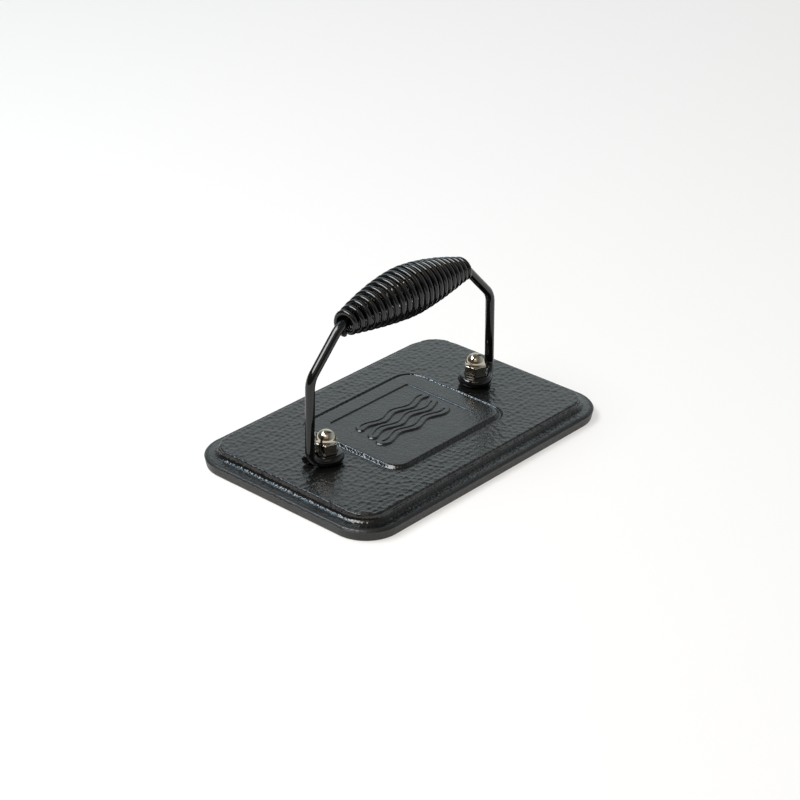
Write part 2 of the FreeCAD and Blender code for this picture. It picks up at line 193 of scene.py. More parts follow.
# Sides of the plate. Points are (inset from the outer edge, height).
COVE_INSET, COVE_LEVEL, COVE_RADIUS = 4.0, 8.75, 2.9
PLATFORM_WALL_FOOT = (PLATFORM_INSET - 0.05, 8.9)
LEDGE = [(3.0, 5.8), (2.0, 5.72)]
RIM_ROUND, RIM_ROUND_INSET = 1.1, 1.3
PARTING_LEVEL = 4.62
PARTING_HALF = 0.16
RIM_DRAFT = [(0.17, 4.1), (0.4, 2.6), (0.66, 1.2)]
BASE_ROUND = 0.75
UNEVEN_FROM = 8.5           # the sides take on the top's unevenness from this height
UNEVEN_BLEND = 1.4          # over this much height
SANDY_LEVELS = (5.7, 9.0)
SANDY_GRIT = 2.2
PLAIN_GRIT = 0.4
GRIT_FROM = 0.8             # the rounded foot below this height is smooth

# Mesh of the plate: a grid on top, a fan out to the platform's edge and rings down the sides.
GRID_INSET = 12.0
GRID_STEP = 0.5
GRID_FINE_STEP = 0.3
FINE_MARGIN = 1.0
STRIPS_FIELD_X, STRIPS_FIELD_Y = 28.6, 12.5
CORNER_FAN_INSET = 19.0
FAN_STEPS = 7
ON_SIDE = 1e-6              # a point this close to a side lies on it

# Material slots of the plate
TOP_SLOT, SANDY_SLOT, EDGE_SLOT = 0, 1, 2
SANDY_MARGIN = 0.2
SLOPE_MARGIN = 0.1
EDGE_FROM = 5.2             # distance outside the platform where the outer edge begins


def dimples(x, y):
    """Heights of a hammered skin: shallow round dimples in staggered, uneven rows."""
    random = np.random.RandomState(DIMPLE_SEED)
    shape = (DIMPLE_TABLE, DIMPLE_TABLE)
    shift_x = random.uniform(-DIMPLE_JITTER, DIMPLE_JITTER, shape)
    shift_y = random.uniform(-DIMPLE_JITTER, DIMPLE_JITTER, shape)
    deep = random.uniform(DIMPLE_SHALLOWEST, 1.0, shape)
    row = np.round(y / DIMPLE_PITCH).astype(int)
    deepest = np.zeros_like(x)
    for row_step in (-1, 0, 1):
        this_row = row + row_step
        stagger = 0.5 * (this_row % 2)
        column = np.round(x / DIMPLE_PITCH - stagger).astype(int)
        for column_step in (-1, 0, 1):
            this_column = column + column_step
            i, j = this_column % DIMPLE_TABLE, this_row % DIMPLE_TABLE
            centre_x = (this_column + stagger + shift_x[i, j]) * DIMPLE_PITCH
            centre_y = (this_row + shift_y[i, j]) * DIMPLE_PITCH
            away = np.hypot(x - centre_x, y - centre_y) / (DIMPLE_REACH * DIMPLE_PITCH)
            hollow = deep[i, j] * np.clip(1 - away ** 2, 0, 1)
            deepest = np.maximum(deepest, hollow)
    return -DIMPLE_DEPTH * deepest


def rashers(x, y):
    """Three plain wavy strips, the raised ornament in the middle of the panel."""
    height = np.zeros_like(x)
    for strip in (-1, 0, 1):
        wave = RASHER_WAVE * np.sin(x / RASHER_WAVE_LENGTH + strip)
        centre = strip * RASHER_SPACING + wave
        past_end = np.maximum(np.abs(x - RASHER_SHIFT * strip) - RASHER_HALF_LENGTH, 0)
        away = np.hypot(y - centre, past_end)
        body = inside_wall(away - RASHER_HALF_WIDTH, RASHER_WALL)
        off_streak = np.abs(y - centre - STREAK_OFFSET) - STREAK_HALF_WIDTH
        streak = inside_wall(off_streak, STREAK_WALL) * (past_end == 0)
        height = np.maximum(height, body * (1 - STREAK_DEPTH * streak))
    return RASHER_RISE * height


def two_noises(x, y, first, second):
    """Sum of two noises, each given as (size, pitch, seed)."""
    first_size, first_pitch, first_seed = first
    second_size, second_pitch, second_seed = second
    total = first_size * soft_noise(x, y, first_pitch, first_seed)
    return total + second_size * soft_noise(x, y, second_pitch, second_seed)


def sand(x, y):
    """Fine grain of a sand-cast surface, from -1 to 1."""
    return two_noises(x, y, COARSE_SAND, FINE_SAND)


def top_height(x, y):
    """Height of the plate's upper side inside the platform's edge."""
    plaque = outline_distance(x, y, PLAQUE_HALF_X, PLAQUE_HALF_Y, PLAQUE_CORNER)
    panel = outline_distance(x, y, PANEL_HALF_X, PANEL_HALF_Y, PANEL_CORNER)
    in_panel = inside_wall(panel, PANEL_WALL)
    in_groove = inside_wall(plaque - GROOVE_WIDTH + GROOVE_WALL / 2, GROOVE_WALL)
    on_plaque = inside_wall(plaque - PLAQUE_WALL_MIDDLE, PLAQUE_WALL)
    boss = np.hypot(np.abs(x) - STUD_X, y) - BOSS_RADIUS
    level = PLATFORM_TOP - GROOVE_DEPTH * in_groove
    level = level + (PLAQUE_RISE + GROOVE_DEPTH) * on_plaque
    level = level - PANEL_DEPTH * in_panel + rashers(x, y) * in_panel
    level = level + BOSS_RISE * inside_wall(boss, BOSS_WALL)
    off_plaque = smooth_step((plaque - GROOVE_WIDTH) / DIMPLE_FADE_AT_GROOVE)
    off_boss = smooth_step((boss - DIMPLE_GAP_AT_BOSS) / DIMPLE_FADE_AT_BOSS)
    hammered = off_plaque * off_boss
    level = level + hammered * dimples(x, y)
    level = level + two_noises(x, y, BROAD_WAVES, NARROW_WAVES)
    from_band = np.abs(plaque - SANDY_BAND_MIDDLE) - SANDY_BAND_HALF
    sandy_band = inside_wall(from_band, SANDY_BAND_WALL)
    grit = 1 - SMOOTHED_BY_DIMPLES * hammered + sandy_band
    return level + SAND_DEPTH * grit * sand(x, y)


def grid_lines(half, spans):
    """Symmetric grid lines, closer together inside the given spans."""
    lines = [0.0]
    while lines[-1] < half:
        here = lines[-1]
        fine = any(low <= here <= high for low, high in spans)
        lines.append(here + (GRID_FINE_STEP if fine else GRID_STEP))
    scale = half / lines[-1]
    right = [line * scale for line in lines]
    return np.array([-line for line in reversed(right[1:])] + right)


def fine_spans(strips_half, panel_half, plaque_half):
    """Stretches of an axis with narrow walls, where the grid has to be closer."""
    return [
        (0, strips_half),
        (panel_half - FINE_MARGIN, panel_half + FINE_MARGIN),
        (plaque_half - FINE_MARGIN, plaque_half + GROOVE_WIDTH + GROOVE_WALL),
    ]


def outline(half_x, half_y, corner, segment, share):
    """Points of a centred rounded rectangle, anticlockwise, for each segment and share of it.

    Even segments are its straight sides and odd ones its corners, from the side at -Y.
    """
    sx, sy = half_x - corner, half_y - corner
    starts = [(-sx, -half_y), None, (half_x, -sy), None, (sx, half_y), None, (-half_x, sy), None]
    ends = [(sx, -half_y), None, (half_x, sy), None, (-sx, half_y), None, (-half_x, -sy), None]
    centres = {1: (sx, -sy), 3: (sx, sy), 5: (-sx, sy), 7: (-sx, -sy)}
    points = np.zeros((len(segment), 2))
    for s in range(8):
        here = segment == s
        t = share[here][:, None]
        if s % 2 == 0:
            points[here] = np.array(starts[s]) * (1 - t) + np.array(ends[s]) * t
        else:
            angle = math.radians(90) * (t + (s - 1) / 2 - 1)
            arc = np.hstack([np.cos(angle), np.sin(angle)])
            points[here] = np.array(centres[s]) + corner * arc
    return points


def border_keys(border, straight_x, straight_y):
    """Segment and share of every border point of a rectangle, to match it to an outline.

    Quarter turns bring each side in turn to -V. Its middle is a straight segment, and what lies
    past that is half of a corner segment.
    """
    half_x, half_y = border[:, 0].max(), border[:, 1].max()
    segment = np.zeros(len(border), int)
    share = np.zeros(len(border))
    for index, (x, y) in enumerate(border):
        for turn in range(4):
            u, v = ((x, y), (y, -x), (-x, -y), (-y, x))[turn]
            half_u, straight_u = ((half_x, straight_x), (half_y, straight_y))[turn % 2]
            half_v, straight_v = ((half_y, straight_y), (half_x, straight_x))[turn % 2]
            on_side = abs(v + half_v) < ON_SIDE
            if on_side and abs(u) <= straight_u:
                segment[index] = 2 * turn
                share[index] = (u + straight_u) / (2 * straight_u)
            elif on_side and u > straight_u:
                segment[index] = 2 * turn + 1
                share[index] = 0.5 * (u - straight_u) / (half_u - straight_u)
            elif abs(u - half_u) < ON_SIDE and v < -straight_v:
                segment[index] = 2 * turn + 1
                share[index] = 0.5 + 0.5 * (v + half_v) / (half_v - straight_v)
    return segment, share


def arc_profile(centre, radius, start, end, count):
    """(inset, height) points of an arc; angle 0 points outwards and 90 up."""
    angles = np.radians(np.linspace(start, end, count))
    return [(centre[0] - radius * math.cos(a), centre[1] + radius * math.sin(a)) for a in angles]


def rim_profile():
    """(inset, height) from the platform's flat top, over the rim, to the underside."""
    platform_edge = (PLATFORM_INSET + PLATFORM_ROUND, PLATFORM_TOP - PLATFORM_ROUND)
    profile = arc_profile(platform_edge, PLATFORM_ROUND, 90, 4, 6)
    profile.append(PLATFORM_WALL_FOOT)
    profile += arc_profile((COVE_INSET, COVE_LEVEL), COVE_RADIUS, 185, 265, 11)
    profile += LEDGE
    profile += arc_profile((RIM_ROUND_INSET, PARTING_LEVEL), RIM_ROUND, 80, 14, 5)
    profile.append((0.05, PARTING_LEVEL + PARTING_HALF))
    profile.append((0.0, PARTING_LEVEL))
    profile.append((0.1, PARTING_LEVEL - PARTING_HALF))
    profile += RIM_DRAFT
    profile += arc_profile((2 * BASE_ROUND, BASE_ROUND), BASE_ROUND, 0, -90, 5)
    profile += [(4 * BASE_ROUND, 0.0)]
    return profile


def top_grid():
    """Flat points of the top's grid, its faces, and the numbers of its border points in order."""
    xs = grid_lines(
        HALF_LENGTH - GRID_INSET, fine_spans(STRIPS_FIELD_X, PANEL_HALF_X, PLAQUE_HALF_X)
    )
    ys = grid_lines(
        HALF_WIDTH - GRID_INSET, fine_spans(STRIPS_FIELD_Y, PANEL_HALF_Y, PLAQUE_HALF_Y)
    )
    grid_x, grid_y = np.meshgrid(xs, ys, indexing="ij")
    number = np.arange(grid_x.size).reshape(grid_x.shape)
    corners = [number[:-1, :-1], number[1:, :-1], number[1:, 1:], number[:-1, 1:]]
    faces = np.stack(corners, axis=-1).reshape(-1, 4).tolist()
    border = np.concatenate(
        [number[:-1, 0], number[-1, :-1], number[:0:-1, -1], number[0, :0:-1]]
    )
    return np.stack([grid_x.ravel(), grid_y.ravel()], axis=1), faces, border


def fan_layers(border, segment, share):
    """Layers of points on the top, from the grid's border out towards the platform's edge."""
    inset = PLATFORM_INSET + PLATFORM_ROUND
    corner = PLATFORM_CORNER - PLATFORM_ROUND
    edge = outline(HALF_LENGTH - inset, HALF_WIDTH - inset, corner, segment, share)
    layers = []
    for step in range(1, FAN_STEPS):
        points = border + (edge - border) * step / FAN_STEPS
        layers.append(np.column_stack([points, top_height(points[:, 0], points[:, 1])]))
    return layers


def side_layer(inset, height, segment, share):
    """One ring of points round the plate's side, with the unevenness of the casting."""
    corner = PLATE_CORNER - inset * (PLATE_CORNER - PLATFORM_CORNER) / PLATFORM_INSET
    points = outline(HALF_LENGTH - inset, HALF_WIDTH - inset, corner, segment, share)
    x, y = points[:, 0], points[:, 1]
    near_top = smooth_step((height - UNEVEN_FROM) / UNEVEN_BLEND)
    uneven = near_top * (top_height(x, y) - PLATFORM_TOP)
    grit = SANDY_GRIT if SANDY_LEVELS[0] < height < SANDY_LEVELS[1] else PLAIN_GRIT
    uneven = uneven + grit * SAND_DEPTH * (height > GRIT_FROM) * sand(x, y)
    return np.column_stack([points, height + uneven])


def plate_mesh():
    flat, faces, border = top_grid()
    segment, share = border_keys(
        flat[border], HALF_LENGTH - CORNER_FAN_INSET, HALF_WIDTH - CORNER_FAN_INSET
    )
    layers = fan_layers(flat[border], segment, share)
    layers += [side_layer(inset, height, segment, share) for inset, height in rim_profile()]
    count = len(border)
    rings = [border]
    rings += [len(flat) + number * count + np.arange(count) for number in range(len(layers))]
    for inner, outer in zip(rings, rings[1:]):
        strip = np.stack([inner, outer, np.roll(outer, -1), np.roll(inner, -1)], axis=1)
        faces += strip.tolist()
    faces.append(rings[-1][::-1].tolist())
    top = np.column_stack([flat, top_height(flat[:, 0], flat[:, 1])])
    return np.vstack([top] + layers), faces


def surface_slot(point):
    """Material slot at a point in millimetres."""
    plaque = outline_distance(point[0], point[1], PLAQUE_HALF_X, PLAQUE_HALF_Y, PLAQUE_CORNER)
    in_groove = abs(plaque - 0.5 * GROOVE_WIDTH) < 0.5 * GROOVE_WIDTH + SANDY_MARGIN
    half_x = HALF_LENGTH - PLATFORM_INSET - SLOPE_MARGIN
    half_y = HALF_WIDTH - PLATFORM_INSET - SLOPE_MARGIN
    platform = outline_distance(point[0], point[1], half_x, half_y, PLATFORM_CORNER)
    if platform > EDGE_FROM:
        return EDGE_SLOT
    return SANDY_SLOT if in_groove or platform > 0 else TOP_SLOT


def make_plate():
    vertices, faces = plate_mesh()
    plate = new_object("plate_casting", vertices, faces)
    plate.data.materials.append(iron_material("cast_iron_black", 1.0, 0.12, (0.17, 0.28)))
    plate.data.materials.append(iron_material("cast_iron_sandy", 1.2, 0.24, (0.06, 0.14)))
    plate.data.materials.append(iron_material("cast_iron_edge", 0.8, 0.2, (0.34, 0.5)))
    for face in plate.data.polygons:
        face.material_index = surface_slot(face.center / MM)
    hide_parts("press_plate")
    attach(plate, "press")


# ---------------------------------------------------------------- tubes

END_CLEARANCE = 1.5         # path points this many roundings from an end are left out


def tube(path, radii, sides, first_normal):
    """Vertices and faces of a closed round tube along a path of points."""
    path = np.asarray(path, float)
    tangents = np.gradient(path, axis=0)
    tangents /= np.linalg.norm(tangents, axis=1)[:, None]
    normal = np.asarray(first_normal, float)
    angles = np.linspace(0, 2 * math.pi, sides, endpoint=False)
    vertices = []
    for point, tangent, radius in zip(path, tangents, radii):
        normal = normal - tangent * normal.dot(tangent)
        normal = normal / np.linalg.norm(normal)
        side = np.cross(tangent, normal)
        for angle in angles:
            vertices.append(point + radius * (math.cos(angle) * normal + math.sin(angle) * side))
    return vertices, closed_strips(len(path), sides)


def unit(vector):
    return vector / np.linalg.norm(vector)


def with_rounded_ends(path, radius, cut):
    """Path and radii of a tube whose ends are cut square with a small rounded edge."""
    path = [np.asarray(point, float) for point in path]
    first, last = path[0], path[-1]
    start = unit(path[1] - first)
    end = unit(last - path[-2])
    shares = [0.0, 0.12, 0.4, 1.0]
    heads = [first + start * cut * share for share in shares]
    tails = [last - end * cut * share for share in reversed(shares)]
    small = [radius - cut * (1 - math.sqrt(1 - (1 - share) ** 2)) for share in shares]
    clear = END_CLEARANCE * cut
    inner = []
    for point in path[1:-1]:
        if np.linalg.norm(point - first) > clear and np.linalg.norm(point - last) > clear:
            inner.append(point)
    radii = small + [radius] * len(inner) + small[::-1]
    return heads + inner + tails, radii


# ---------------------------------------------------------------- handle rod

ROD_RADIUS = 2.25
EYE_LEVEL = BOSS_TOP + ROD_RADIUS
CROWN_HEIGHT = ROD_HIGH.z - ROD_RADIUS
CROWN_HALF = 42.4
SHOULDER_HALF, SHOULDER_HEIGHT = 62.3, 54.3
FOOT_HALF = 63.15
EYE_RADIUS = 6.1
TAIL_REACH, TAIL_SIDE = 9.8, 3.6
CROWN_BEND, FOOT_BEND = 10.5, 6.5
ROD_END_ROUND = 0.5
ROD_SIDES = 28
ROD_STEP = 0.7              # spacing of the path's points round the bends
STRAIGHT_STEPS = 3          # spacing on straight runs, in steps
LEAST_BEND_PIECES = 6
EYE_STEPS = 56
TAIL_STEPS = 8


def rounded_path(points, bends, step):
    """Dense points along straight runs joined by tangent arcs of the given radii."""
    path = [np.asarray(points[0], float)]

    def run_to(target):
        start = path[-1]
        pieces = max(1, int(np.linalg.norm(target - start) / (STRAIGHT_STEPS * step)))
        for piece in range(1, pieces + 1):
            path.append(start + (target - start) * piece / pieces)

    for before, corner, after, bend in zip(points, points[1:], points[2:], bends):
        back = unit(before - corner)
        ahead = unit(after - corner)
        half = math.acos(np.clip(back.dot(ahead), -1, 1)) / 2
        trim = bend / math.tan(half)
        middle = unit(back + ahead)
        centre = corner + middle * bend / math.sin(half)
        first = corner + back * trim
        last = corner + ahead * trim
        run_to(first)
        arm = first - centre
        far_arm = last - centre
        sweep = math.pi - 2 * half
        pieces = max(LEAST_BEND_PIECES, int(bend * sweep / step))
        for piece in range(1, pieces + 1):
            t = sweep * piece / pieces
            blend = arm * math.sin(sweep - t) + far_arm * math.sin(t)
            path.append(centre + blend / math.sin(sweep))
    run_to(np.asarray(points[-1], float))
    return path


def tangent_point(centre, radius, outside, turn):
    """Point where a line from outside touches a level circle."""
    reach = outside - centre
    angle = math.atan2(reach[1], reach[0])
    angle += turn * math.acos(radius / math.hypot(reach[0], reach[1]))
    return centre + radius * np.array([math.cos(angle), math.sin(angle), 0.0])


def half_rod_path():
    """Centre line from the middle of the crown, down a leg and round the eye to its tail."""
    stud = np.array([STUD_X, 0, EYE_LEVEL])
    foot = np.array([FOOT_HALF, 0, EYE_LEVEL])
    tail = stud + np.array([TAIL_REACH, TAIL_SIDE, 0])
    joins = tangent_point(stud, EYE_RADIUS, foot, -1)
    leaves = tangent_point(stud, EYE_RADIUS, tail, 1)
    corners = [
        np.array([0, 0, CROWN_HEIGHT]),
        np.array([CROWN_HALF, 0, CROWN_HEIGHT]),
        np.array([SHOULDER_HALF, 0, SHOULDER_HEIGHT]),
        foot,
        joins,
    ]
    path = rounded_path(corners, [CROWN_BEND, CROWN_BEND, FOOT_BEND], ROD_STEP)
    start = math.atan2(joins[1], joins[0] - STUD_X)
    end = math.atan2(leaves[1], leaves[0] - STUD_X)
    sweep = (start - end) % (2 * math.pi)
    for step in range(1, EYE_STEPS + 1):
        angle = start - sweep * step / EYE_STEPS
        path.append(stud + EYE_RADIUS * np.array([math.cos(angle), math.sin(angle), 0]))
    for step in range(1, TAIL_STEPS + 1):
        path.append(leaves + (tail - leaves) * step / TAIL_STEPS)
    return path


def make_rod():
    right = half_rod_path()
    left = [point * np.array([-1, 1, 1]) for point in reversed(right[1:])]
    path, radii = with_rounded_ends(left + right, ROD_RADIUS, ROD_END_ROUND)
    vertices, faces = tube(path, radii, ROD_SIDES, (0, 0, 1))
    rod = new_object("handle_bent_rod", vertices, faces)
    rod.data.materials.append(black_gloss_material("rod_black", 0.09))
    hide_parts("handle_rod")
    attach(rod, "press")


# ---------------------------------------------------------------- wound grip

WIRE_RADIUS = 1.35
WIRE_END_ROUND = 0.35
WIRE_SIDES = 18
COIL_TURNS = 22.08
COIL_PITCH = 3.75
COIL_END_RADIUS = 4.5
COIL_MID_RADIUS = 11.0
COIL_POWER = 1.6
COIL_END_BLEND = 1.0
COIL_CENTRE = 0.3
COIL_DROP = 0.35
COIL_ARCH = 2.0
COIL_START_ANGLE = 250.0
COIL_STEPS_PER_TURN = 60
PITCH_WANDER = 0.05         # hand-wound unevenness of the turns
PITCH_WANDER_RATE = 2.3
RADIUS_WANDER = 0.04
RADIUS_WANDER_RATE = 1.7


def coil_radius(along):
    """Radius of the wire's centre line at a distance along the grip from its middle."""
    reach = COIL_PITCH * COIL_TURNS / 2 - COIL_END_BLEND
    eased = max(reach - math.log(1 + math.exp(reach - abs(along))), 0)
    return COIL_MID_RADIUS - (COIL_MID_RADIUS - COIL_END_RADIUS) * (eased / reach) ** COIL_POWER


def coil_path():
    steps = int(COIL_TURNS * COIL_STEPS_PER_TURN)
    path = []
    for step in range(steps + 1):
        share = step / steps
        along = (share - 0.5) * COIL_TURNS * COIL_PITCH
        angle = math.radians(COIL_START_ANGLE) + 2 * math.pi * COIL_TURNS * share
        axis_height = CROWN_HEIGHT - COIL_DROP + COIL_ARCH * (1 - (2 * share - 1) ** 2)
        swing = math.sin(PITCH_WANDER_RATE * angle / math.pi)
        settle = PITCH_WANDER * swing * math.sin(math.pi * share)
        swing = math.sin(RADIUS_WANDER_RATE * angle / math.pi)
        radius = coil_radius(along) - RADIUS_WANDER * (1 + swing)
        path.append(np.array([
            COIL_CENTRE + along + settle,
            radius * math.cos(angle),
            axis_height + radius * math.sin(angle),
        ]))
    return path


def make_coil():
    path, radii = with_rounded_ends(coil_path(), WIRE_RADIUS, WIRE_END_ROUND)
    vertices, faces = tube(path, radii, WIRE_SIDES, (1, 0, 0))
    coil = new_object("grip_wire_coil", vertices, faces)
    coil.data.materials.append(black_gloss_material("coil_black", 0.08))
    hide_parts("grip_coil")
    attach(coil, "grip")


# ---------------------------------------------------------------- cap nuts

NUT_APOTHEM = 5.0
NUT_SEAT_RADIUS = 4.7
NUT_HEX_HEIGHT = 6.1
NUT_BALL_RADIUS = 4.55
NUT_DOME_TAPER = math.radians(9.0)
NUT_BORE_RADIUS = 3.05
NUT_BORE_DEPTH = 7.6
NUT_TURN = 41.0
NUT_CORNER_SHARPNESS = 150.0
SEAT_CHAMFER = math.radians(30)
CROWN_CHAMFER = math.radians(15)
SEAT_EDGE_ROUND = 0.15      # small rounding at the outer rim of the seat
CROWN_LAND = 0.05           # narrow shoulder round the dome's foot
DOME_FILLET_RADIUS, DOME_FILLET_RISE = 0.08, 0.02
DOME_FOOT_RISE = 0.12
CHAMFER_LEVELS = [0.02, 0.1, 0.25, 0.4, 0.6, 0.8, 1.1, 1.6]
DOME_STEPS = 16
DOME_LAST_ANGLE = math.radians(88)
NUT_COLUMNS = 192


def hexagon_radius(angles, limit):
    """Radius of a hexagon with softened corners, cut down to a limiting radius."""
    turn = math.radians(NUT_TURN)
    flats = [np.cos(angles - turn - math.radians(30 + 60 * k)) / NUT_APOTHEM for k in range(6)]
    flats.append(np.full_like(angles, 1 / limit))
    total = sum(np.exp(NUT_CORNER_SHARPNESS * flat) for flat in flats)
    return NUT_CORNER_SHARPNESS / np.log(total)


def nut_rows(angles):
    """(radii, height) rows from the bore, under the seat, up the hexagon and over the dome."""
    height = NUT_HIGH.z - NUT_LOW.z
    ball = height - NUT_BALL_RADIUS
    cone_top = NUT_BALL_RADIUS * math.cos(NUT_DOME_TAPER)
    cone_rise = ball + NUT_BALL_RADIUS * math.sin(NUT_DOME_TAPER) - NUT_HEX_HEIGHT
    cone_foot = cone_top + cone_rise * math.tan(NUT_DOME_TAPER)
    even = np.ones_like(angles)
    rows = [(even * NUT_BORE_RADIUS, NUT_BORE_DEPTH), (even * NUT_BORE_RADIUS, 0.0)]
    rows.append((even * (NUT_SEAT_RADIUS - SEAT_EDGE_ROUND), 0.0))
    upper_levels = [NUT_HEX_HEIGHT - level for level in reversed(CHAMFER_LEVELS)]
    for level in CHAMFER_LEVELS + upper_levels:
        seat_limit = NUT_SEAT_RADIUS + level / math.tan(SEAT_CHAMFER)
        below_crown = NUT_HEX_HEIGHT - level
        crown_limit = cone_foot + CROWN_LAND + below_crown / math.tan(CROWN_CHAMFER)
        rows.append((hexagon_radius(angles, min(seat_limit, crown_limit)), level))
    rows.append((even * (cone_foot + DOME_FILLET_RADIUS), NUT_HEX_HEIGHT + DOME_FILLET_RISE))
    rows.append((even * cone_foot, NUT_HEX_HEIGHT + DOME_FOOT_RISE))
    for step in range(DOME_STEPS + 1):
        rise = NUT_DOME_TAPER + (DOME_LAST_ANGLE - NUT_DOME_TAPER) * step / DOME_STEPS
        level = ball + NUT_BALL_RADIUS * math.sin(rise)
        rows.append((even * NUT_BALL_RADIUS * math.cos(rise), level))
    return rows


def make_nut(side, centre_x):
    angles = np.linspace(0, 2 * math.pi, NUT_COLUMNS, endpoint=False)
    rows = nut_rows(angles)
    vertices = []
    for radii, level in rows:
        for angle, radius in zip(angles, radii):
            x = centre_x + radius * math.cos(angle)
            y = radius * math.sin(angle)
            vertices.append((x, y, NUT_LOW.z + level))
    faces = closed_strips(len(rows), NUT_COLUMNS)
    nut = new_object("domed_nut_" + side, vertices, faces)
    nut.data.materials.append(nickel_material())
    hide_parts("cap_nut_" + side)
    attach(nut, "press")


# ---------------------------------------------------------------- materials

# Each coating is mottled between two close colours.
IRON_COLOURS = ((0.0035, 0.0035, 0.0035), (0.007, 0.007, 0.0065))
BLACK_GLOSS_COLOURS = ((0.0015, 0.0015, 0.0015), (0.004, 0.004, 0.0038))
NICKEL_COLOURS = ((0.45, 0.41, 0.33), (0.53, 0.48, 0.39))
ZINC_COLOURS = ((0.42, 0.41, 0.39), (0.56, 0.55, 0.52))
LACQUER_IOR = 1.52
GLOSS_IOR = 1.5
THREAD_RING_SPACING = 2.0
THREAD_DEPTH = 0.3
WAVE_PERIOD = math.pi / 10  # a wave texture of scale 1 repeats after this length


def start_material(name):
    made = bpy.data.materials.new(name)
    made.use_nodes = True
    tree = made.node_tree
    shader = tree.nodes["Principled BSDF"]
    place = tree.nodes.new("ShaderNodeTexCoord")
    return made, tree, shader, place


def noise(tree, place, feature_mm, detail=3.0, roughness=0.5):
    """A noise texture whose features are about that many millimetres across."""
    node = tree.nodes.new("ShaderNodeTexNoise")
    node.inputs["Scale"].default_value = 1 / (feature_mm * MM)
    node.inputs["Detail"].default_value = detail
    node.inputs["Roughness"].default_value = roughness
    tree.links.new(place.outputs["Object"], node.inputs["Vector"])
    return node


def spread(tree, value, low, high, to_low, to_high):
    """Map a value's range from low..high to to_low..to_high."""
    node = tree.nodes.new("ShaderNodeMapRange")
    node.inputs["From Min"].default_value = low
    node.inputs["From Max"].default_value = high
    node.inputs["To Min"].default_value = to_low
    node.inputs["To Max"].default_value = to_high
    tree.links.new(value, node.inputs["Value"])
    return node.outputs["Result"]


def blend_colours(tree, factor, first, second):
    node = tree.nodes.new("ShaderNodeMix")
    node.data_type = "RGBA"
    node.inputs["A"].default_value = (*first, 1)
    node.inputs["B"].default_value = (*second, 1)
    tree.links.new(factor, node.inputs["Factor"])
    return node.outputs["Result"]


def mottle(tree, shader, patches, colours):
    """Colour a shader in soft patches of two colours."""
    mix = spread(tree, patches.outputs["Fac"], 0.35, 0.65, 0, 1)
    tree.links.new(blend_colours(tree, mix, *colours), shader.inputs["Base Color"])


def vary_gloss(tree, shader, pattern, low, high, smoothest, roughest):
    """Let the roughness follow a pattern whose values run from low to high."""
    gloss = spread(tree, pattern.outputs["Fac"], low, high, smoothest, roughest)
    tree.links.new(gloss, shader.inputs["Roughness"])


def bump(tree, shader, pattern, depth_mm):
    node = tree.nodes.new("ShaderNodeBump")
    node.inputs["Strength"].default_value = 1.0
    node.inputs["Distance"].default_value = depth_mm * MM
    tree.links.new(pattern.outputs["Fac"], node.inputs["Height"])
    tree.links.new(node.outputs["Normal"], shader.inputs["Normal"])


def iron_material(name, grain_mm, depth_mm, roughness):
    """Black lacquered cast iron: a sandy casting grain under a glossy, uneven coat."""
    made, tree, shader, place = start_material(name)
    patches = noise(tree, place, 14.0, 4.0)
    grain = noise(tree, place, grain_mm, 1.0, 0.5)
    mottle(tree, shader, patches, IRON_COLOURS)
    vary_gloss(tree, shader, grain, 0.35, 0.65, *roughness)
    shader.inputs["IOR"].default_value = LACQUER_IOR
    bump(tree, shader, grain, depth_mm)
    return made


def black_gloss_material(name, roughness):
    """Glossy black coating on steel rod, with a faint orange-peel skin."""
    made, tree, shader, place = start_material(name)
    patches = noise(tree, place, 6.0, 3.0)
    mottle(tree, shader, patches, BLACK_GLOSS_COLOURS)
    vary_gloss(tree, shader, patches, 0.3, 0.7, roughness - 0.03, roughness + 0.04)
    shader.inputs["IOR"].default_value = GLOSS_IOR
    peel = noise(tree, place, 1.1, 1.0)
    bump(tree, shader, peel, 0.012)
    return made


def nickel_material():
    """Bright nickel plating with faint polishing marks."""
    made, tree, shader, place = start_material("nickel_plating")
    shader.inputs["Metallic"].default_value = 1.0
    patches = noise(tree, place, 3.0, 4.0)
    mottle(tree, shader, patches, NICKEL_COLOURS)
    vary_gloss(tree, shader, patches, 0.3, 0.7, 0.06, 0.13)
    marks = noise(tree, place, 0.5, 2.0)
    bump(tree, shader, marks, 0.006)
    return made


def stud_material():
    """Zinc-plated steel with rings that stand for the thread."""
    made, tree, shader, place = start_material("zinc_steel")
    shader.inputs["Metallic"].default_value = 1.0
    patches = noise(tree, place, 1.5, 3.0)
    mottle(tree, shader, patches, ZINC_COLOURS)
    vary_gloss(tree, shader, patches, 0.3, 0.7, 0.28, 0.42)
    thread = tree.nodes.new("ShaderNodeTexWave")
    thread.bands_direction = "Z"
    thread.inputs["Scale"].default_value = WAVE_PERIOD / (THREAD_RING_SPACING * MM)
    tree.links.new(place.outputs["Object"], thread.inputs["Vector"])
    bump(tree, shader, thread, THREAD_DEPTH)
    return made


# ---------------------------------------------------------------- studio

BRIGHT_SIDE = (0.95, 0.05, 0.0)     # direction in which the backdrop is brightest
COOL_BRIGHT_WALL = (0.52, 0.58, 0.60)
WARM_DIM_WALL = (0.115, 0.10, 0.085)
DARK_CEILING = (0.20, 0.20, 0.21)
WALL_BLEND = (-0.30, 0.65)          # how much it faces that side where dim ends and bright starts
CEILING_BLEND = (0.45, 0.80)        # sine of the elevation where wall ends and ceiling starts
FLOOR_REACH = 4.0                   # metres
FLOOR_DROP = 0.1                    # millimetres under the plate
FLOOR_COLOUR = (0.36, 0.355, 0.35, 1)
FLOOR_GLOW = (1.0, 0.99, 0.97, 1)
FLOOR_GLOW_STRENGTH = 0.56
